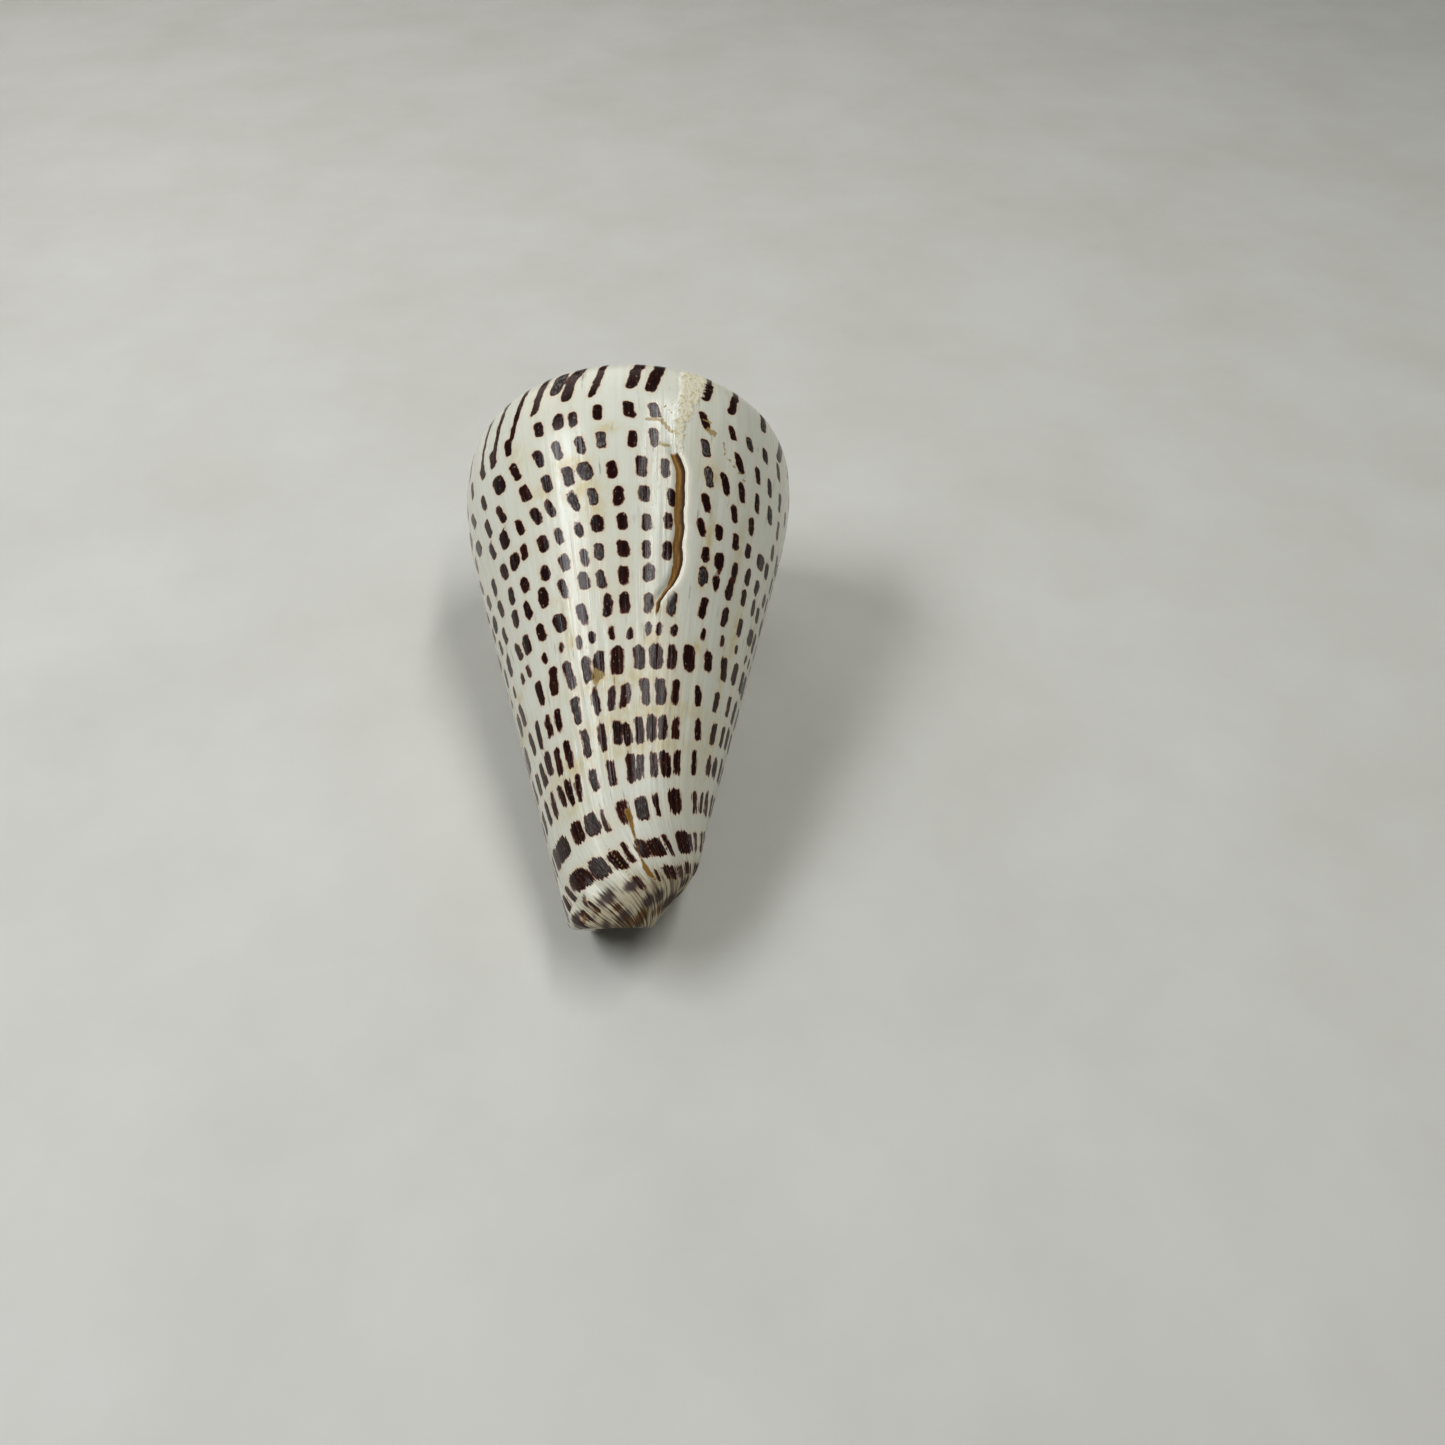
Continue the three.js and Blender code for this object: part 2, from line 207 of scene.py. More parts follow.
def shelf_point(u):
    """Top of a turn at the size of the lip: a cubic Bezier from the inner suture to the outer."""
    outer = np.array([outline_radius(SUTURE_DEPTH), SUTURE_DEPTH])
    inner = outer / GROWTH
    slope = (outline_radius(SUTURE_DEPTH + 0.01) - outline_radius(SUTURE_DEPTH - 0.01)) / 0.02
    along = np.array([slope, 1]) / math.hypot(slope, 1)
    knots = (inner, inner + (1.7, 0.2), outer - 3 * along, outer)
    u = np.asarray(u)[..., None]
    weights = ((1 - u) ** 3, 3 * u * (1 - u) ** 2, 3 * u ** 2 * (1 - u), u ** 3)
    point = sum(w * k for w, k in zip(weights, knots))
    return point[..., 0], point[..., 1]


def sheet(turn, row, bottom=None):
    """Outside of the spiral sheet. The shelf follows its curve, the notch steps down to the top of
    the opening, and the side runs to the bottom with rows closer at both of its ends. Gives radius
    and depth."""
    turn, row = np.broadcast_arrays(np.asarray(turn, float), np.asarray(row, float))
    scale = GROWTH ** turn
    end_r, end_d = end_point(turn)
    bottom = end_d if bottom is None else np.broadcast_to(bottom, turn.shape)
    shelf_r, shelf_d = shelf_point(np.clip(row / SUTURE_ROW, 0, 1))
    groove = np.where(row == SUTURE_ROW, SUTURE_GROOVE * scale * smooth(-turn, 1, 1.06), 0)
    notch = SUTURE_DEPTH + (OPENING_TOP - SUTURE_DEPTH) * (row - SUTURE_ROW) / NOTCH_ROWS
    x = np.clip((row - OPENING_ROW) / SIDE_ROWS, 0, 1)
    portion = x - 0.45 * np.sin(2 * np.pi * x) / (2 * np.pi)
    side = scale * OPENING_TOP * (1 - portion) + bottom * portion
    depth = np.where(row <= OPENING_ROW, scale * notch, side)
    near = np.clip(1 - (end_d - depth) / END_ROUND, 0, 1) * (row > OPENING_ROW)
    rounding = END_ROUND * np.minimum(0.75, end_r / 10) * (1 - np.sqrt(1 - near ** 2))
    r = plain_radius(turn, depth) + relief(turn, depth / scale) - rounding
    on_shelf = row <= SUTURE_ROW
    r = np.where(on_shelf, shelf_r * scale, r) - SURFACE_INSET
    return r, np.where(on_shelf, shelf_d * scale + groove, depth)


def place(turn, r, depth):
    """From turn, radius and depth to the part's frame at rest, in millimetres."""
    angle = 2 * np.pi * (turn - TOP_TURN)
    rise = r * np.cos(angle)
    x = -r * np.sin(angle)
    y = -depth * math.cos(REST_PITCH) - rise * math.sin(REST_PITCH)
    z = -depth * math.sin(REST_PITCH) + rise * math.cos(REST_PITCH)
    return np.stack([x, y, z], -1) + np.array(APEX_PLACE)


def column_turns():
    """Column places in the last turn, from -1 to 0. Their spacing is the inverse of a density that
    is raised over the top of the shell, and much more along the break."""
    fine = np.linspace(-1, 0, 20001)
    over_top = np.exp(-((fine - TOP_TURN - 0.01) / 0.2) ** 4)
    along_break = np.exp(-((fine - BREAK_TURN) / 0.012) ** 2)
    density = 1 + 0.9 * over_top + 6 * along_break
    share = np.concatenate([[0], np.cumsum(density[1:] + density[:-1])])
    return np.interp(np.linspace(0, 1, COLUMNS + 1), share / share[-1], fine)


def bent_turns(turns, rows):
    """Columns near the break bend sideways so that they follow its line."""
    turn, row = np.meshgrid(turns, rows, indexing="ij")
    depth = sheet(turn, row)[1] / GROWTH ** turn
    shift = break_line(depth) - BREAK_TURN
    zone = smooth(depth, 6, 9) * (1 - smooth(depth, 60, 80))
    zone = zone * (row > SUTURE_ROW) * (row < END_ROW)
    reach = np.clip(1 - np.abs(turn - BREAK_TURN) / BREAK_REACH, 0, 1)
    return turn + shift * zone * smooth(reach, 0, 0.75), row


def wall_at(turn):
    """Thickness of the wall: thick a little way in, thin at the lip."""
    thick = (THICK_WALL - INNER_WALL) * np.exp(-((turn - THICK_TURN) / 0.14) ** 2)
    return INNER_WALL + thick - 0.8 * (THICK_WALL - LIP_WALL) * np.exp(turn / 0.03)


def cavity_bottom(turn):
    """Depth where the cavity closes, by halving, or the flat end where it stays open."""
    end = end_point(turn)[1]

    def room(depth):
        return plain_radius(turn, depth) - wall_at(turn) - plain_radius(turn - 1, depth)

    low, high = np.full_like(end, 60.0), end.copy()
    for _ in range(40):
        middle = (low + high) / 2
        wide = room(middle) > CAVITY_ROOM
        low, high = np.where(wide, middle, low), np.where(wide, high, middle)
    is_open = room(end) > CAVITY_ROOM
    return np.where(is_open, end, low), is_open


def inner_sheet(turn, row, bottom):
    """Inside of the wall: the sheet moved inward along its slope, and kept off the older turn."""
    r, depth = sheet(turn, row, bottom)
    before = sheet(turn, np.maximum(row - 1, 0), bottom)
    after = sheet(turn, np.minimum(row + 1, END_ROW), bottom)
    dr, dd = after[0] - before[0], after[1] - before[1]
    length = np.hypot(dr, dd)
    wall = wall_at(turn)
    at_end = row == END_ROW
    inner_r = np.where(at_end, r - wall, r - wall * dd / length)
    inner_d = np.where(at_end, end_depth(turn, inner_r), depth + wall * dr / length)
    clear = 0.3 * np.minimum(row / (0.75 * SUTURE_ROW), 1)
    return np.maximum(inner_r, plain_radius(turn - 1, inner_d) + clear - SURFACE_INSET), inner_d


# The spots. Rows are numbered from 1 at the shoulder down. Each line holds the outline depth of the row,
# the usual half width and half height of a spot, how far spots are split into fine stripes, and
# the angles of the spots that show, in degrees from the top of the shell, positive on its left.
# The depths come from a fit to the photograph by a separate script. So do most of the angles: spot
# centres were read off the photograph by eye, and that script turned them into degrees.
SPOT_ROWS = (
    (20.6, 0.84, 1.55, 0.0, (-44, -36, -25, -8, 0, 10, 18, 23, 30, 43, 51, 58)),
    (26.5, 0.84, 1.65, 0.0, (-58, -50, -40, -26, -8, -1, 9, 16, 24, 31, 41)),
    (32.0, 0.86, 1.65, 0.0, (-52, -43, -35, -28, -12, -4, 6, 15, 21, 29, 38, 51)),
    (37.0, 0.84, 1.55, 0.0, (-51, -41, -28, -15, -5, 4, 13, 20, 29, 35, 43, 52)),
    (42.1, 0.84, 1.45, 0.0, (-52, -44, -35, -27, -14, -6, 3, 12, 19, 27, 34, 43, 49, 56)),
    (47.2, 0.82, 1.45, 0.0, (-55, -46, -37, -30, -14, -6, 3, 12, 18, 26, 35, 46, 55)),
    (51.8, 0.80, 1.60, 0.0, (-55, -45, -37, -30, -7, 3, 12, 19, 28, 38, 47)),
    (57.1, 0.78, 1.75, 0.0, (-57, -45, -32, -17, -7, 3, 10, 21, 32, 42)),
    (61.7, 0.52, 0.95, 0.0, (-58, -46, -34, -19, -12, -7, 1, 9, 18, 24, 33, 43)),
    (66.6, 0.80, 2.10, 0.2, (-62, -51, -39, -28, -19, -11, -3, 7, 16, 22, 31, 40, 50)),
    (72.9, 0.62, 1.95, 0.2, (-63, -50, -36, -22, -14, -6, 4, 11, 19, 30, 42, 49, 58)),
    (79.0, 0.60, 1.95, 0.4, (-64, -53, -39, -24, -16, -10, -3, 4, 9, 17, 27, 39, 47, 55, 63)),
    (85.1, 0.58, 1.85, 0.45, (-55, -40, -27, -19, -12, -3, 2, 14, 25, 36, 43, 50, 59, 68)),
    (92.0, 0.50, 1.80, 0.45, (-63, -55, -47, -29, -15, -5, 6, 10, 21, 31, 43, 62)),
    (99.1, 0.45, 1.65, 0.5, (-60, -51, -42, -27, -17, -5, 6, 15, 30, 50, 66)),
    (104.0, 0.36, 1.00, 0.6, (-56, -49, -43, -36, -30, -20, -2, 41, 54)),
)
# Slants of the spots well to the left and to the right, by outline depth, in millimetres a
# millimetre. Near the top of the shell they stand straight.
SLANTS = (
    (20, 0.05, 0.40), (26, 0.32, 0.34), (37, 0.25, 0.22), (44, 0.18, 0.05), (58, 0.18, 0.0),
    (67, 0.05, 0.05),
)
# Long streaks over the shoulder: angle, half width, the depth where they end, and wear
STREAKS = (
    (-52, 0.95, 14.5, 0.7), (-37, 0.78, 16.0, 0), (-26, 0.80, 15.2, 0), (-8, 1.15, 15.6, 0),
    (-1.5, 1.05, 15.0, 0), (10, 0.62, 16.2, 0), (19, 0.92, 16.0, 0), (30, 0.78, 16.5, 0),
    (38, 0.50, 19.2, 0), (47, 0.55, 19.6, 0), (55, 0.50, 20.0, 0),
)
STREAK_LEAN = -0.25
STREAK_SPLIT = 0.1
# Two short dashes between the streaks: angle, outline depth, half width, half height, wear
SHOULDER_DASHES = ((23, 11.2, 1.25, 2.9, 1.0), (15.5, 9.0, 0.5, 2.0, 0.5))
# Spots wider than their row's, as row, angle and half width in millimetres
WIDE_SPOTS = (
    (1, -8, 0.95), (1, 23, 1.0), (4, 15, 1.15), (3, 15, 1.2), (6, 10, 1.0), (4, 52, 1.3), (5, 49, 1.3),
    (7, 46, 1.3), (8, 32, 1.2), (9, 42, 1.2), (10, -11, 1.15), (10, -28, 1.05), (10, 7, 1.1),
    (11, -11, 0.9), (11, -14, 0.9), (12, -16, 0.75), (12, -10, 0.8), (13, -19, 0.85), (13, -12, 0.5),
    (13, 2, 0.8), (14, -29, 1.1), (14, -15, 0.32), (14, -5, 0.85), (14, 6, 0.36), (14, 10, 0.36),
    (14, 21, 0.38), (14, 31, 1.3), (14, 43, 1.15), (14, 62, 2.2), (15, -42, 1.2), (15, -27, 0.32),
    (15, -17, 1.1), (15, -5, 0.85), (15, 6, 0.35), (15, 15, 0.9), (15, 30, 1.5), (15, 50, 2.1),
)
# Rubbed grey spots, as row, angle and wear
WORN_SPOTS = (
    (2, 9, 0.9), (3, 15, 0.6), (3, 21, 0.5), (4, 13, 0.6), (4, 20, 0.7), (5, 19, 0.5), (2, -26, 0.7),
    (3, -28, 1.0), (8, -17, 0.8), (6, 12, 0.4), (7, 12, 0.35), (11, 30, 0.5), (12, 27, 0.5),
    (10, 22, 0.3), (1, -44, 0.8), (13, 25, 0.4), (7, -30, 0.6), (9, -46, 0.5), (14, -5, 0.6),
    (14, 31, 0.3), (15, 30, 0.4),
)
STREAKS_IN_VIEW = (-60, 62)     # degrees, past which streaks are spread by chance
STREAK_SPACING = 10.5           # degrees between those, on the average
SPOTS_PAST = 5                  # degrees past a row's last listed spot, where chance takes over
SPOT_SPACING = 9.6              # degrees between spots spread by chance, on the average
SPOTS_MISSING = 0.08            # share of those that is left out
MARK_REACH = 2.0                # millimetres over which the depth inside a mark is kept
UNROLLED_GIRTH = 180            # millimetres given to one turn on the unrolled shell

# Soft yellow tints: angle, outline depth, half width in degrees, half height, strength
TINTS = (
    (7, 24, 4, 1.2, 0.7), (20, 30, 7, 1.6, 0.9), (31, 33, 4, 1.6, 0.7), (17, 35, 7, 1.6, 0.9),
    (12, 39, 4, 2.0, 0.7), (5, 37, 3, 1.5, 0.4), (-31, 45, 2.2, 6.5, 0.9), (-30, 52, 2.0, 2.2, 0.8),
    (-29, 31, 4, 2.2, 0.8), (-54, 60, 3, 5.5, 0.9), (-9, 63.6, 4, 1.4, 0.9), (-32, 64.4, 2.6, 1.5, 1.0),
    (33, 53.5, 2, 1.0, 0.8), (28, 56.5, 2.4, 2.5, 0.8), (28, 60.5, 2.4, 3.0, 0.9), (-47, 44, 3, 8, 0.5),
    (-50, 70, 3, 7, 0.7), (17, 68.8, 3.2, 1.6, 1.3), (-11, 57.8, 3, 1.6, 0.8), (8, 70, 24, 1.6, 0.8),
    (-12, 76, 32, 1.5, 0.8), (12, 77, 20, 1.4, 0.7), (-5, 82, 32, 1.3, 0.7), (38, 82, 18, 1.6, 0.8),
    (40, 24, 4, 2.5, 0.5), (45, 88, 14, 1.4, 0.5), (50, 97.5, 14, 1.2, 0.4), (-52, 82, 10, 6, 0.5),
)
# Ochre scratches: from angle and depth to angle and depth, with half width and strength
SCRATCHES = (
    (-5.5, 22.4, -9.5, 22.0, 0.32, 1.0), (-9.5, 22.0, -14.0, 24.6, 0.38, 1.0),
    (-9.5, 27.0, -12.8, 27.6, 0.45, 0.8), (-11.5, 19.2, -13.6, 20.3, 0.25, 0.7),
    (-26.5, 22.4, -28.6, 22.6, 0.7, 0.9), (-24.5, 20.6, -27.0, 20.4, 0.3, 0.8),
    (-32.5, 23.6, -33.6, 26.4, 0.2, 0.7), (-33.5, 26.2, -44.0, 29.4, 0.3, 0.7),
    (17.5, 67.9, 15.5, 68.6, 0.7, 0.9), (19.5, 68.8, 17.0, 70.0, 0.4, 0.9),
    (22, 96.5, 5, 102.8, 0.12, 0.7),
)
# The ochre crack near the base, as angle, outline depth and half width, found as the break was
CRACK = (
    (5.5, 92.0, 0.55), (2.6, 94.6, 0.40), (1.0, 96.2, 0.22), (-3.4, 99.8, 0.10), (-7.0, 101.8, 0.42),
    (-11, 103.2, 0.40), (-19, 104.8, 0.22), (-24, 106.0, 0.12),
)
# Smudges on the base: angle, outline depth, half width in degrees, half height, strength
PURPLE_SMUDGES = (
    (28, 104.0, 11, 1.3, 1.0), (5, 104.2, 9, 1.0, 1.0), (-13, 107.4, 10, 1.3, 1.0),
    (-26, 107.3, 9, 1.4, 1.0), (15, 107.8, 11, 1.2, 0.9), (39, 107.1, 8, 0.9, 1.0),
    (-48, 109.0, 14, 1.6, 1.1), (-2, 109.4, 14, 1.0, 0.9), (-62, 106.5, 8, 1.6, 0.9),
    (45, 105.2, 5, 0.8, 0.6),
)
RUST_SMUDGES = (
    (48, 102.4, 3.4, 1.1, 1.1), (56, 104.3, 3.4, 0.9, 1.1), (39, 105.0, 5, 0.8, 0.8),
    (20, 106.1, 9, 0.7, 0.8), (12, 109.0, 12, 1.1, 1.0), (-6, 109.0, 12, 1.2, 1.1),
    (-30, 109.4, 14, 1.3, 0.9), (28, 108.4, 8, 0.8, 0.9),
)


def spread_angles(rng, start, stop, spacing):
    """Angles from start to stop, one per spacing, each moved by chance."""
    count = max(int(round((stop - start) / spacing)), 1)
    step = (stop - start) / count
    return start + step * (np.arange(count) + 0.5) + rng.normal(0, 0.13 * step, count)


def all_marks():
    """Every spot and streak as lines: angle, outline depth, half width, half height, slant, worn
    and split. Those in view are the listed ones. The rest go round the shell by chance, with
    8 in 100 of the spots missing."""
    rng = np.random.default_rng(17)
    lines = [
        (angle, centre, half, tall, STREAK_LEAN, wear, STREAK_SPLIT)
        for angle, centre, half, tall, wear in SHOULDER_DASHES
    ]
    first, last = -360 * (1 + TOP_TURN), -360 * TOP_TURN
    wide = {(row, angle): half for row, angle, half in WIDE_SPOTS}
    rubbed = {(row, angle): wear for row, angle, wear in WORN_SPOTS}
    depths, left, right = np.array(SLANTS).T
    for number, (depth, width, height, split, angles) in enumerate(SPOT_ROWS, 1):
        low, high = min(angles) - SPOTS_PAST, max(angles) + SPOTS_PAST
        unseen = np.concatenate([
            spread_angles(rng, first - 8, low, SPOT_SPACING),
            spread_angles(rng, high, last + 4, SPOT_SPACING),
        ])
        unseen = unseen[rng.random(len(unseen)) > SPOTS_MISSING]
        for angle in [*angles, *unseen]:
            lean = np.interp(depth, depths, left if angle > 0 else right) * min(abs(angle) / 22, 1)
            by_chance = width * rng.choice([0.9, 1.0, 1.1, 1.25], p=[0.25, 0.4, 0.25, 0.1])
            if angle in unseen and rng.random() < 0.08:
                by_chance *= 1.5
            half = wide.get((number, angle), by_chance)
            by_chance = 0.6 * (angle in unseen and rng.random() < 0.08)
            worn = rubbed.get((number, angle), by_chance)
            tall = height * rng.uniform(0.95, 1.2)
            centre = depth + rng.normal(0, 0.18)
            lines.append((angle, centre, half, tall, lean + rng.normal(0, 0.07), worn, split))
    streaks = list(STREAKS)
    view_right, view_left = STREAKS_IN_VIEW
    for low, high in ((first - 360 * (SPIRE_TURNS - 1), view_right), (view_left, last + 4)):
        for angle in spread_angles(rng, low, high, STREAK_SPACING):
            streaks.append((angle, rng.choice([0.5, 0.75, 0.95, 1.2]), rng.uniform(14.5, 18.5), 0))
    for angle, half, end, worn in streaks:
        # A streak is four marks joined in a leaning line, from below the shoulder onto the shelf
        knots = (end, 10.5 + rng.normal(0, 0.5), 5.6 + rng.normal(0, 0.5), 1.0, -3.5)
        for low, high, wider in zip(knots, knots[1:], (1.05, 0.85, 1.1, 1.25)):
            centre = (low + high) / 2
            at = angle + 0.42 * (centre - 13.0) + rng.normal(0, 0.25)
            width = half * wider * rng.uniform(0.88, 1.12)
            lean = STREAK_LEAN + rng.normal(0, 0.07)
            lines.append((at, centre, width, (low - high) / 2 + 0.45, lean, worn, STREAK_SPLIT))
    return np.array(lines)


def mark_depths(turn, radius, depth):
    """For every point, how far it lies inside the nearest mark, and that mark's wear and split. A
    mark is a box with round corners, sheared by its slant. Distances are in millimetres at the
    size of the lip, and are negative outside."""
    scale = GROWTH ** turn
    shape = turn.shape
    tau, size = (turn + growth_lean(depth)).ravel(), (2 * np.pi * radius / scale).ravel()
    q = depth.ravel()
    inside = np.full(tau.size, -MARK_REACH)
    worn, split = np.zeros(tau.size), np.zeros(tau.size)
    order = np.argsort(q, kind="stable")
    sorted_q = q[order]
    for angle, centre, half_w, half_h, slant, is_worn, is_split in all_marks():
        low = np.searchsorted(sorted_q, centre - half_h - MARK_REACH)
        high = np.searchsorted(sorted_q, centre + half_h + MARK_REACH)
        band = order[low:high]
        mark_tau = TOP_TURN + angle / 360 + growth_lean(centre)
        band = band[np.abs(tau[band] - mark_tau) < 0.09]
        dv = q[band] - centre
        du = (tau[band] - mark_tau) * size[band] + slant * dv
        corner = 0.75 * min(half_w, half_h)
        x, y = np.abs(du) - half_w + corner, np.abs(dv) - half_h + corner
        outside = np.hypot(np.maximum(x, 0), np.maximum(y, 0)) + np.minimum(np.maximum(x, y), 0)
        value = corner - outside
        nearer = value > inside[band]
        chosen = band[nearer]
        inside[chosen] = value[nearer]
        worn[chosen], split[chosen] = is_worn, is_split
    return inside.reshape(shape), worn.reshape(shape), split.reshape(shape)


def segment_distance(u, v, line):
    """Distance from points to a straight piece of a line, and how far along it from 0 to 1."""
    (u0, v0), (u1, v1) = line
    du, dv = u1 - u0, v1 - v0
    along = np.clip(((u - u0) * du + (v - v0) * dv) / (du * du + dv * dv), 0, 1)
    return np.hypot(u - u0 - along * du, v - v0 - along * dv), along


def ellipses(angle, depth, patches):
    """Soft patches: the strongest of a set of bell curves of angle and depth."""
    total = np.zeros(angle.shape)
    for at, centre, half_angle, half_height, strength in patches:
        spread = ((angle - at) / half_angle) ** 2 + ((depth - centre) / half_height) ** 2
        total = np.maximum(total, strength * np.exp(-spread))
    return total


def around(patches, low, high, spacing, seed):
    """The patches in view, with more like them spread by chance round the rest of the shell."""
    rng = np.random.default_rng(seed)
    first, last = -360 * (1 + TOP_TURN), -360 * TOP_TURN
    more = []
    for start, stop in ((first, low), (high, last)):
        for angle in spread_angles(rng, start, stop, spacing):
            like = patches[rng.integers(len(patches))]
            more.append((angle, like[1] + rng.normal(0, 0.4), like[2], like[3], like[4]))
    return tuple(patches) + tuple(more)


def stains(turn, radius, depth):
    """Tint, smudges and ochre scratches from 0 to 1, and how far a point lies inside the crack."""
    angle = (turn - TOP_TURN) * 360
    per_degree = 2 * np.pi * radius / GROWTH ** turn / 360
    u = angle * per_degree
    ochre = np.zeros(turn.shape)
    for a0, d0, a1, d1, half, strength in SCRATCHES:
        away = segment_distance(u, depth, ((a0 * per_degree, d0), (a1 * per_degree, d1)))[0]
        ochre = np.maximum(ochre, strength * np.clip(1.5 - away / half, 0, 1))
    crack = np.full(turn.shape, -3.0)
    for (a0, d0, w0), (a1, d1, w1) in zip(CRACK, CRACK[1:]):
        away, along = segment_distance(u, depth, ((a0 * per_degree, d0), (a1 * per_degree, d1)))
        crack = np.maximum(crack, w0 + (w1 - w0) * along - away)
    return dict(
        tint=ellipses(angle, depth, around(TINTS, -60, 60, 20, 5)),
        purple=ellipses(angle, depth, around(PURPLE_SMUDGES, -75, 58, 19, 6)),
        rust=ellipses(angle, depth, around(RUST_SMUDGES, -60, 66, 24, 7)),
        ochre=ochre, crack=crack,
    )


def break_parts(turn, depth):
    """The chalky strip, the white edge (partly chalk, partly a painted highlight on the raised edge) and
    the golden groove of the break, from 0 to 1.
    """
    off = break_offset(turn, depth)
    reach = 0.9 + 3.9 * smooth(depth, -8, 4) * (1 - smooth(depth, 8, 28))
    strip_ends = smooth(depth, -9, -3) * (1 - smooth(depth, 26, 30))
    chalk = strip_ends * smooth(off, -reach - 1.2, -reach + 0.9) * (1 - smooth(off, -0.05, 0.3))
    edge_ends = smooth(depth, 24, 28) * (1 - smooth(depth, 54, 59))
    # White edge: partly chalk and partly a painted highlight where light catches the raised older edge
    white = edge_ends * smooth(off, -1.9, -0.5) * (1 - smooth(off, -0.05, 0.1))
    groove_ends = smooth(depth, 27, 30.5) * (1 - smooth(depth, 56, 62))
    waist = 0.75 + 1.0 * (1 - smooth(depth, 49, 57))
    groove = groove_ends * smooth(off, -0.02, 0.12) * (1 - smooth(off, waist - 0.35, waist + 0.45))
    return dict(chalk=chalk, white=white, groove=groove, off_break=np.clip(off, -9, 9))


class Patchwork:
    """Grids of points that are joined into one mesh. Each grid brings its faces, and for every
    point a place on the sheet and the numbers that the material reads."""

    names = (
        "mark", "worn", "split", "tint", "purple", "rust", "ochre", "crack", "chalk", "white", "groove",
        "off_break", "inside",
    )

    def __init__(self):
        self.points, self.faces, self.uvs, self.values, self.count = [], [], [], [], 0

    def add(self, points, turn, depth, **values):
        """Adds a grid, with quads between its neighbouring points."""
        n, m = points.shape[:2]
        ids = self.count + np.arange(n * m).reshape(n, m)
        quads = np.stack([ids[:-1, :-1], ids[1:, :-1], ids[1:, 1:], ids[:-1, 1:]], -1)
        self.faces.append(quads.reshape(-1, 4))
        self.points.append(points.reshape(-1, 3))
        self.uvs.append(np.stack([turn * UNROLLED_GIRTH, depth], -1).reshape(-1, 2))
        plain = dict(mark=-MARK_REACH, crack=-3.0, off_break=9.0)
        stack = [np.broadcast_to(values.get(k, plain.get(k, 0.0)), (n, m)) for k in self.names]
        self.values.append(np.stack(stack, -1).reshape(-1, len(self.names)))
        self.count += n * m

    def build(self, name):
        """One closed mesh: seams merged, what is still open filled, normals turned outward."""
        points = fit_in_box(np.concatenate(self.points) * MM)
        faces = np.concatenate(self.faces)
        mesh = bpy.data.meshes.new(name)
        mesh.from_pydata(points.tolist(), [], faces.tolist())
        corners = faces.ravel()
        uv = mesh.uv_layers.new(name="growth")
        uv.data.foreach_set("uv", np.concatenate(self.uvs)[corners].astype(np.float32).ravel())
        values = np.concatenate(self.values)[corners]
        for k, label in enumerate(self.names):
            layer = mesh.attributes.new(label, "FLOAT", "CORNER")
            layer.data.foreach_set("value", values[:, k].astype(np.float32))
        work = bmesh.new()
        work.from_mesh(mesh)
        bmesh.ops.remove_doubles(work, verts=work.verts, dist=2e-6)
        bmesh.ops.dissolve_degenerate(work, dist=1e-7, edges=work.edges)
        bmesh.ops.holes_fill(work, edges=[e for e in work.edges if e.is_boundary], sides=0)
        bmesh.ops.recalc_face_normals(work, faces=work.faces)
        work.to_mesh(mesh)
        work.free()
        mesh.shade_smooth()
        mesh.set_sharp_from_angle(angle=math.radians(50))
        return mesh


def fit_in_box(points):
    """Draws the points in, an axis at a time, where they would pass the box of the solid."""
    low, high = np.array(CAD_BOX[0]), np.array(CAD_BOX[1])
    least, most = points.min(0), points.max(0)
    low, high = np.maximum(low, least), np.minimum(high, most)
    return low + (points - least) * (high - low) / (most - least)


def outside_values(turn, r, depth):
    """Numbers for the material on the outside of the sheet."""
    mark, worn, split = mark_depths(turn, r, depth)
    return dict(
        mark=mark, worn=worn, split=split, **stains(turn, r, depth), **break_parts(turn, depth),
    )


def shelf_depth(row):
    """Depth on the unrolled sheet: on the shelf it goes on backward by the length of its curve."""
    u = np.linspace(0, 1, 200)
    r, d = shelf_point(u)
    length = np.concatenate([[0], np.cumsum(np.hypot(np.diff(r), np.diff(d)))])
    return SUTURE_DEPTH - np.interp(1 - row / SUTURE_ROW, u, length[-1] - length[::-1])


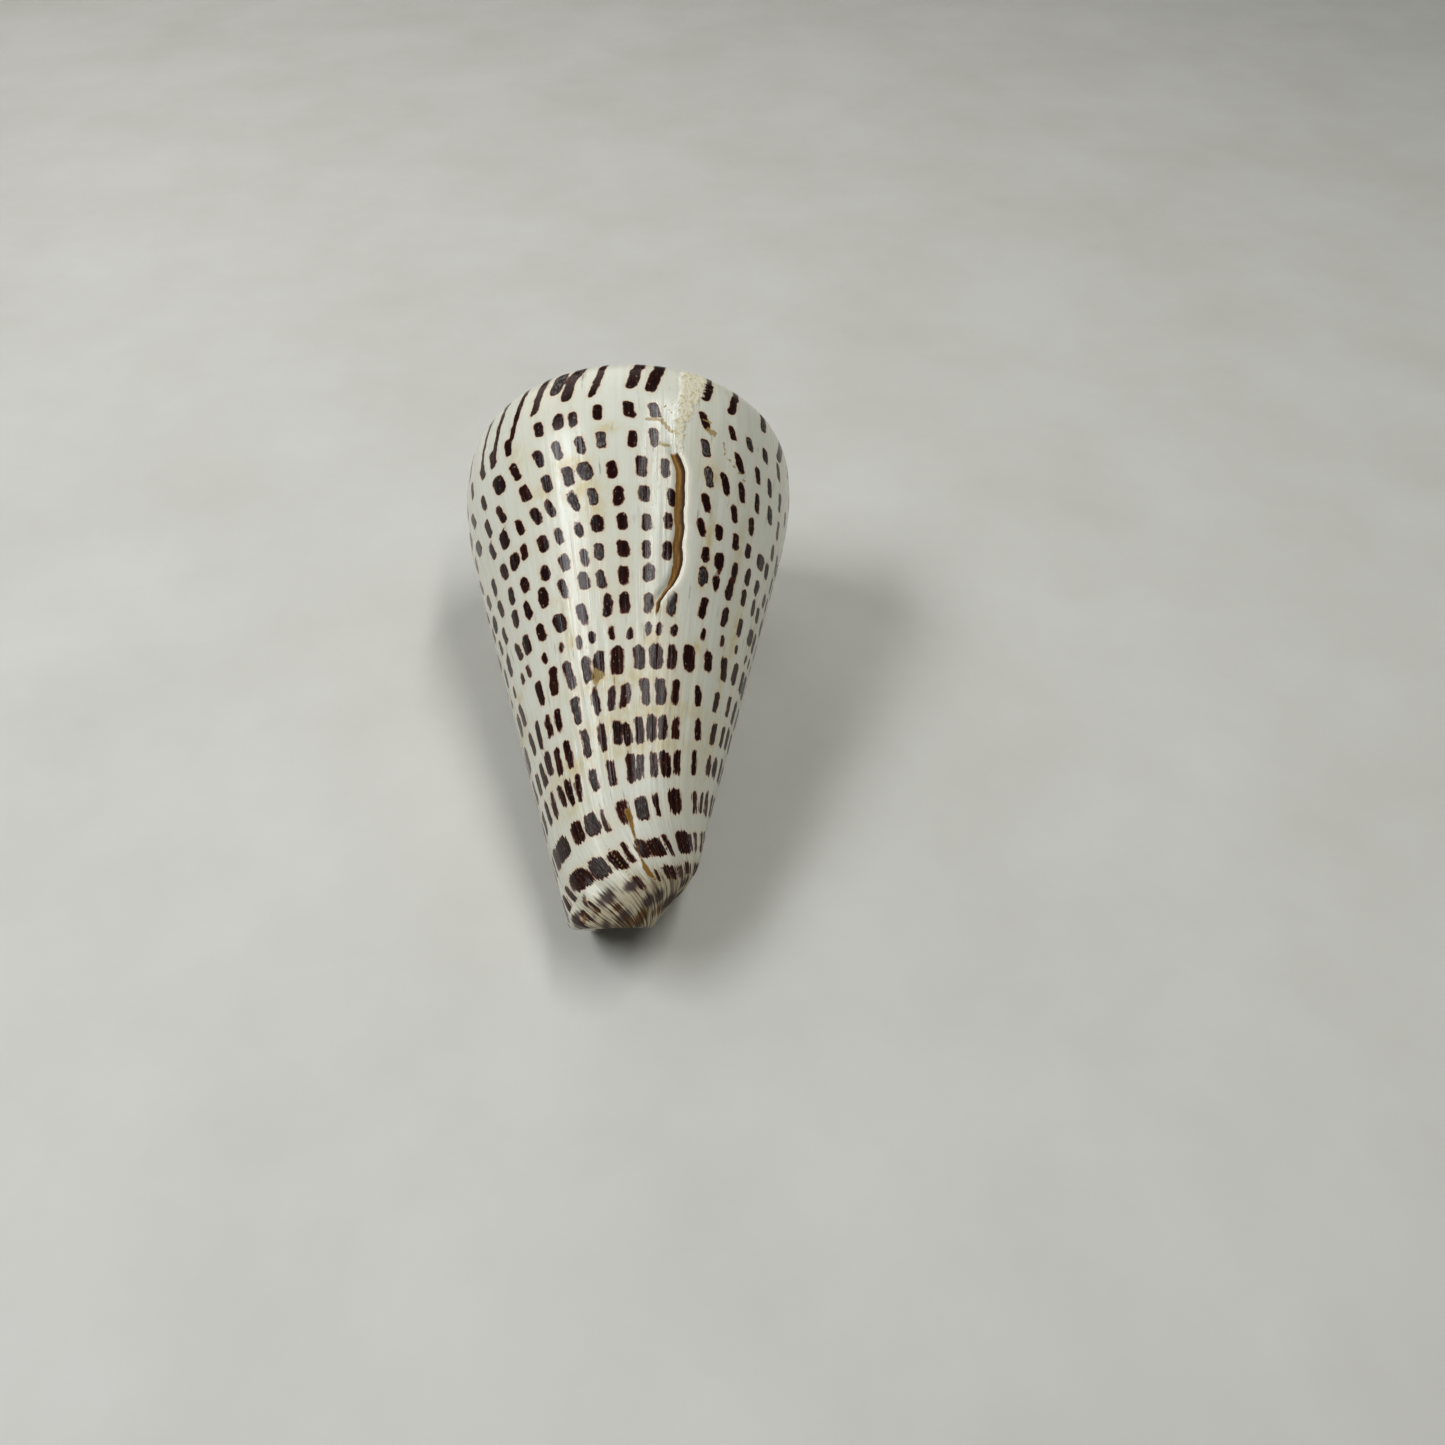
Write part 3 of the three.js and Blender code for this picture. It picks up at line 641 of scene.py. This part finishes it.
def build_shell():
    """The last turn, the older turns' shelves, the cavity's two walls and the lip's rim."""
    work = Patchwork()
    turns, rows = column_turns(), np.arange(END_ROW + 1)
    turn, row = bent_turns(turns, rows)
    r, depth = sheet(turn, row)
    points = place(turn, r, depth)
    older_r, older_d = sheet(turns - 1, SUTURE_ROW)
    points[:, 0] = place(turns - 1, older_r, older_d)
    q = np.where(row <= SUTURE_ROW, shelf_depth(row), depth / GROWTH ** turn)
    values = outside_values(turn, np.maximum(r, 1), q)
    work.add(points, turn + growth_lean(q), q, **values)
    last = points
    for back in range(1, SPIRE_TURNS):
        # The older turns' shelves, with fewer rows as they get smaller
        steps = SUTURE_ROW if back < 4 else max(SUTURE_ROW - 2 * (back - 3), 3)
        turn, row = np.meshgrid(turns - back, np.linspace(0, SUTURE_ROW, steps + 1), indexing="ij")
        r, depth = sheet(turn, row)
        ring = place(turn, r, depth)
        inner_r, inner_d = sheet(turns - back - 1, SUTURE_ROW)
        ring[:, 0] = place(turns - back - 1, inner_r, inner_d)
        q = shelf_depth(row)
        mark, worn, split = mark_depths(turn, r, q)
        work.add(ring, turn, q, mark=mark, worn=worn, split=split, tint=0.06 * back)

    # Apex: a low button over what the smallest turn leaves open
    border = np.concatenate([ring[:, 0], ring[0, -2::-1]])[:, None]
    share = np.linspace(0, 1, 5)[None, :, None]
    button = border + (place(np.array(0.0), 0.0, 0.05) - border) * share
    work.add(button, np.full(button.shape[:2], -SPIRE_TURNS), np.full(button.shape[:2], 0.0), tint=0.9)

    # Cavity
    back = CAVITY_REACH * np.linspace(0, 1, CAVITY_COLUMNS + 1) ** 1.5
    bottom, is_open = cavity_bottom(-back)
    turn, row = np.meshgrid(-1 - back, np.arange(OPENING_ROW, END_ROW + 1), indexing="ij")
    end = np.where(is_open, end_point(-1 - back)[1], bottom)
    r, depth = sheet(turn, row, end[:, None])
    older = place(turn, r, depth)
    q = depth / GROWTH ** turn
    work.add(older[::-1], turn[::-1], q[::-1], inside=1.0)
    turn, row = np.meshgrid(-back, rows, indexing="ij")
    r, depth = inner_sheet(turn, row, bottom[:, None])
    newer = place(turn, r, depth)
    newer[:, 0] = older[:, 0]
    newer[~is_open, END_ROW] = older[~is_open, -1]
    work.add(newer, turn, depth / GROWTH ** turn, inside=1.0)

    # Rim of the lip: a rounded edge from the outside of the wall to its inside
    across = np.linspace(0, 1, NOTCH_ROWS + 1)[:, None, None]
    forward = place(np.array(0.001), 1.0, 0.0) - place(np.array(0.0), 1.0, 0.0)
    forward /= np.linalg.norm(forward)
    a, b = last[-1], newer[0]
    blend = 0.5 - 0.5 * np.cos(np.pi * across)
    width = np.linalg.norm(a - b, axis=-1)[None, :, None]
    rim = a + (b - a) * blend + forward * width * LIP_BULGE * np.sin(np.pi * across)
    foot_rows = np.arange(SUTURE_ROW, OPENING_ROW + 1)
    foot = last[0, foot_rows]
    rim[:, 0] = foot
    rim[0], rim[-1] = a, b
    lip_depth = np.broadcast_to(sheet(0.0, rows)[1], (NOTCH_ROWS + 1, END_ROW + 1))
    work.add(rim, np.zeros_like(lip_depth), lip_depth, inside=0.5)
    return work.build("shell_skin")


def linear(hex_colour):
    """An sRGB hex colour as linear red, green, blue and alpha."""
    srgb = [int(hex_colour[k:k + 2], 16) / 255 for k in (1, 3, 5)]
    return [c / 12.92 if c <= 0.04045 else ((c + 0.055) / 1.055) ** 2.4 for c in srgb] + [1.0]


def add(tree, kind, inputs=None, out=0, **settings):
    """Adds a node with its settings and gives one of its outputs. An input takes a link from a
    socket, or else a value, where a hex string is a colour."""
    node = tree.nodes.new("ShaderNode" + kind)
    for key, value in settings.items():
        setattr(node, key, value)
    for key, value in (inputs or {}).items():
        if isinstance(value, bpy.types.NodeSocket):
            tree.links.new(value, node.inputs[key])
        else:
            node.inputs[key].default_value = linear(value) if isinstance(value, str) else value
    return node.outputs[out] if node.outputs else None


def porcelain_shell():
    """Polished aragonite of a cone shell: glossy ivory white like glazed porcelain, laid down in
    growth lines that catch the light as fine streaks along the shell, with pigment in the top
    layer, so that worn spots turn grey. Break scars and the base are chalky and stained. Along
    the break the groove has painted shadow beside its raised edge, and the white edge is partly
    a painted highlight."""
    material = bpy.data.materials.new("polished_aragonite")
    material.use_nodes = True
    tree = material.node_tree
    tree.nodes.clear()
    growth = add(tree, "UVMap", out="UV", uv_map="growth")
    depth = add(tree, "SeparateXYZ", {0: growth}, out="Y")
    has = {k: add(tree, "Attribute", out="Fac", attribute_name=k) for k in Patchwork.names}

    # Patterns on the unrolled shell, in cycles per millimetre across and along its growth lines.
    # Sizes across shrink with the girth, and hold where it is the unrolled one unless a line says so.
    pattern = {}
    for name, across, along, detail in (
        ("wave", 0.70, 0.50, 3.0),          # outline of the spots, 1.5 to 2 mm
        ("fray", 1.30, 0.06, 1.5),          # growth lines that the long spots follow, 0.8 mm
        ("line", 1.10, 0.03, 3.0),          # growth lines in the white, about 0.9 mm
        ("broad", 0.05, 0.03, 2.0),         # slow changes of the white over 20 to 30 mm
        ("patch", 0.60, 0.50, 3.0),         # patches in the yellow tint, about 2 mm
        ("cloud", 0.12, 0.25, 2.0),         # warmer and darker spots
        ("rub", 3.00, 1.10, 4.0),           # fine rub marks in worn spots, 0.3 to 1 mm
        ("crumb", 1.60, 1.20, 5.0),         # crumbly chalk, 0.6 mm
        ("strand", 0.80, 0.14, 3.0),        # oblique lines over the base, 0.5 mm at its smaller girth
        ("streak", 1.50, 0.05, 3.0),        # polish that differs between growth lines
        ("fine", 2.20, 0.04, 4.0),          # relief of the growth lines, 0.45 mm
        ("swell", 0.22, 0.03, 2.0),         # slow waves across the shell, 4 to 5 mm
    ):
        shift = (7.3 * len(pattern), 3.1 * len(pattern), 0.0)
        where = add(tree, "Mapping", {"Vector": growth, "Scale": (across, along, 1.0), "Location": shift})
        shape = {"Vector": where, "Scale": 1.0, "Detail": detail, "Roughness": 0.55}
        pattern[name] = add(tree, "TexNoise", shape, noise_dimensions="2D")

    # Distances and strengths made uneven by a pattern: the field plus the pattern times a factor
    uneven = {}
    for name, field, by, factor in (
        ("spot", has["mark"], "wave", 0.85),
        ("chalk", has["chalk"], "crumb", 1.0),
        ("groove", has["groove"], "crumb", 0.4),
        ("crack", has["crack"], "wave", 0.5),
        ("ochre", has["ochre"], "crumb", 0.8),
        ("purple", has["purple"], "strand", 1.3),
        ("rust", has["rust"], "strand", 1.5),
        ("shore", has["off_break"], "crumb", 1.2),
    ):
        inputs = {0: pattern[by], 1: factor, 2: field}
        uneven[name] = add(tree, "Math", inputs, operation="MULTIPLY_ADD")
    frayed = add(tree, "Math", {0: pattern["fray"], 1: 0.47}, operation="SUBTRACT")
    ends = add(tree, "Math", {0: has["split"], 1: 2.0}, operation="MULTIPLY")
    edge = add(tree, "Math", {0: frayed, 1: ends, 2: uneven["spot"]}, operation="MULTIPLY_ADD")

    # Covers: each rises smoothly from 0 where its field has the first value to its most, a number
    # or another cover, where the field has the second value
    cover = {}
    for name, field, low, high, most in (
        ("lines", pattern["line"], 0.42, 0.70, 0.16),
        ("cream", pattern["broad"], 0.40, 0.65, 0.30),
        ("tinted", pattern["patch"], 0.22, 0.60, has["tint"]),
        ("halo", edge, -0.70, 0.35, 0.26),
        ("spot edge", edge, 0.18, 0.44, 1.0),
        ("spot", edge, 0.36, 0.62, 1.0),
        ("warmer", pattern["cloud"], 0.45, 0.70, "spot"),
        ("long spot", edge, 0.30, 0.60, has["split"]),
        ("stripes", pattern["fray"], 0.50, 0.36, "long spot"),
        ("worn", edge, 0.45, 0.80, has["worn"]),
        ("rubbed", pattern["rub"], 0.44, 0.66, "worn"),
        ("chalk", uneven["chalk"], 0.62, 1.15, 1.0),
        ("chalk pits", pattern["crumb"], 0.50, 0.68, "chalk"),
        # Partly chalk, partly a painted highlight along the raised older edge of the break
        ("white edge and painted highlight", uneven["shore"], 0.95, 0.55, has["white"]),
        ("groove", uneven["groove"], 0.55, 0.85, 1.0),
        ("groove streaks", pattern["fray"], 0.42, 0.62, "groove"),
        # Painted shadow: the groove darkens towards the raised older edge of the break, where shade falls
        ("painted groove shadow", has["off_break"], 0.95, 0.25, "groove"),
        ("ochre", uneven["ochre"], 0.72, 1.05, 0.85),
        ("crack", uneven["crack"], 0.22, 0.42, 1.0),
        ("crack shade", uneven["crack"], 0.45, 0.75, 0.8),
        ("base", depth, 100.5, 106.0, 0.85),
        ("base strands", pattern["strand"], 0.44, 0.64, "base"),
        ("purple", uneven["purple"], 0.78, 1.52, 0.94),
        ("rust", uneven["rust"], 1.05, 1.60, 0.90),
        ("rust shade", pattern["strand"], 0.46, 0.60, "rust"),
        ("inside", has["inside"], 0.60, 0.90, 1.0),
    ):
        inputs = {"Value": field, "From Min": low, "From Max": high, "To Max": cover.get(most, most)}
        cover[name] = add(tree, "MapRange", inputs, interpolation_type="SMOOTHSTEP")

    # Colours, laid one over another from the ivory ground up
    colour = add(tree, "RGB")
    colour.default_value = linear("#d8d9cd")
    for name, over in (
        ("lines", "#c4c0ad"), ("cream", "#d3cdb8"), ("tinted", "#c9bb8c"), ("halo", "#d8bc98"),
        ("base", "#c3b799"), ("base strands", "#7b6750"),
        ("spot edge", "#5e2a1a"), ("spot", "#210c09"), ("warmer", "#32130c"), ("stripes", "#573426"),
        ("worn", "#25201f"), ("rubbed", "#6f6b64"),
        ("purple", "#3f2d2b"), ("rust", "#74501f"),
        ("rust shade", "#3c2414"),
        # The white edge is partly chalk, partly a painted highlight
        ("chalk", "#e2dcc6"), ("chalk pits", "#cabf98"), ("white edge and painted highlight", "#e9e5d6"),
        # The groove's darkest part, beside the raised edge, is painted shadow
        ("groove", "#a88040"), ("groove streaks", "#8d6830"), ("painted groove shadow", "#46290a"),
        ("ochre", "#a18a55"), ("crack", "#94702e"), ("crack shade", "#5e3d14"), ("inside", "#e8e0d0"),
    ):
        colour = add(tree, "Mix", {0: cover[name], 6: colour, 7: over}, out=2, data_type="RGBA")

    # Gloss: polished outside, dull on chalk, scars, worn spots and the base
    dull = cover["chalk"]
    for name in ("groove", "worn", "base", "crack"):
        dull = add(tree, "Math", {0: dull, 1: cover[name]}, operation="MAXIMUM")
    polish = {"Value": pattern["streak"], "From Min": 0.3, "From Max": 0.7, "To Min": 0.11, "To Max": 0.29}
    gloss = add(tree, "MapRange", polish)
    gloss = add(tree, "Math", {0: dull, 1: 0.42, 2: gloss}, operation="MULTIPLY_ADD")

    # Relief: growth lines, slow waves, and the grain of the dull parts
    height = add(tree, "Math", {0: pattern["swell"], 1: 8.0, 2: pattern["fine"]}, operation="MULTIPLY_ADD")
    grain = add(tree, "Math", {0: dull, 1: 5.0}, operation="MULTIPLY")
    height = add(tree, "Math", {0: pattern["crumb"], 1: grain, 2: height}, operation="MULTIPLY_ADD")
    bumpy = {"Height": height, "Strength": 1.0, "Distance": 0.000034}
    add(tree, "OutputMaterial", {
        "Surface": add(tree, "BsdfPrincipled", {
            "Base Color": colour,
            "Roughness": gloss,
            "Normal": add(tree, "Bump", bumpy),
            "IOR": 1.53,
            "Specular IOR Level": 0.30,
        }),
    })
    return material


def table_top():
    """Painted board: a matt pale grey with very faint mottling, so that the shell stands out."""
    material = bpy.data.materials.new("painted_board")
    material.use_nodes = True
    tree = material.node_tree
    tree.nodes.clear()
    where = add(tree, "TexCoord", out="Object")
    mottle = add(tree, "TexNoise", {"Vector": where, "Scale": 22.0, "Detail": 5.0, "Roughness": 0.6})
    fac = add(tree, "MapRange", {"Value": mottle, "From Min": 0.35, "From Max": 0.7})
    colour = add(tree, "Mix", {0: fac, 6: "#cccbc6", 7: "#c4c3bd"}, out=2, data_type="RGBA")
    surface = add(tree, "BsdfPrincipled", {"Base Color": colour, "Roughness": 0.62})
    add(tree, "OutputMaterial", {"Surface": surface})
    return material


def make_floor():
    """A square board, its top on the surface that the shell rests on."""
    half = 1.2
    mesh = bpy.data.meshes.new("floor")
    corners = [(-half, -half, 0), (half, -half, 0), (half, half, 0), (-half, half, 0)]
    mesh.from_pydata(corners, [], [(0, 1, 2, 3)])
    floor = bpy.data.objects.new("floor", mesh)
    bpy.context.scene.collection.objects.link(floor)
    mesh.materials.append(table_top())


# Camera: nearly two shell lengths away, above the narrow end and turned slightly
CAMERA_PLACE = (11.770, -132.921, 161.274)     # millimetres
CAMERA_TILT = 49.953                           # degrees below the horizon
CAMERA_TURN = -2.115                           # degrees to the side
FOCAL_PIXELS = 1085.0                          # in the photograph's 1445 pixels
PHOTO_PIXELS = 1445.0
SENSOR = 36.0


def make_camera():
    """The camera at the photograph's place and angle, level, with no shift and all in focus."""
    data = bpy.data.cameras.new("camera")
    data.sensor_width = SENSOR
    data.lens = SENSOR * FOCAL_PIXELS / PHOTO_PIXELS
    data.clip_start, data.clip_end = 0.01, 20
    camera = bpy.data.objects.new("camera", data)
    camera.location = [c * MM for c in CAMERA_PLACE]
    camera.rotation_euler = (math.radians(90 - CAMERA_TILT), 0, math.radians(CAMERA_TURN))
    bpy.context.scene.collection.objects.link(camera)
    bpy.context.scene.camera = camera


def area_light(name, direction, distance, size, power, colour):
    """A rectangular soft light that faces the shell from a direction. The first of its sizes is
    across the shell and the second lies along it."""
    back = Vector(direction).normalized()
    along = (Vector((0, 1, 0)) - back * back.y).normalized()
    data = bpy.data.lights.new(name, "AREA")
    data.shape = "RECTANGLE"
    data.size, data.size_y = size
    data.energy = power
    data.color = linear(colour)[:3]
    light = bpy.data.objects.new(name, data)
    light.location = back * distance + Vector((0, 0, 0.03))
    light.rotation_euler = Matrix((along.cross(back), along, back)).transposed().to_euler()
    bpy.context.scene.collection.objects.link(light)


def make_lights():
    """Three soft lights, as the highlights and shadows place them: a narrow one nearly overhead on
    the right, a broad one on the left and a dim one behind, over an even pale surround."""
    area_light("overhead_strip", (0.34, 0.00, 0.93), 0.80, (0.08, 0.75), 3.5, "#fbfcfa")
    area_light("left_softbox", (-0.64, -0.01, 0.77), 0.62, (0.17, 0.40), 2.35, "#f9fcff")
    area_light("back_softbox", (-0.35, 0.78, 0.55), 0.7, (0.6, 0.4), 0.8, "#fff8f4")
    world = bpy.data.worlds.new("surround")
    world.use_nodes = True
    world.node_tree.nodes["Background"].inputs["Color"].default_value = linear("#e6e8e4")
    world.node_tree.nodes["Background"].inputs["Strength"].default_value = 0.14
    bpy.context.scene.world = world
    bpy.context.scene.view_settings.view_transform = "Standard"
    bpy.context.scene.view_settings.gamma = 0.88


make_camera()
make_floor()
make_lights()
shell = bpy.data.objects.new("cone_shell", build_shell())
bpy.context.scene.collection.objects.link(shell)
shell.data.materials.append(porcelain_shell())
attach(shell, "root")
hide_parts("shell")
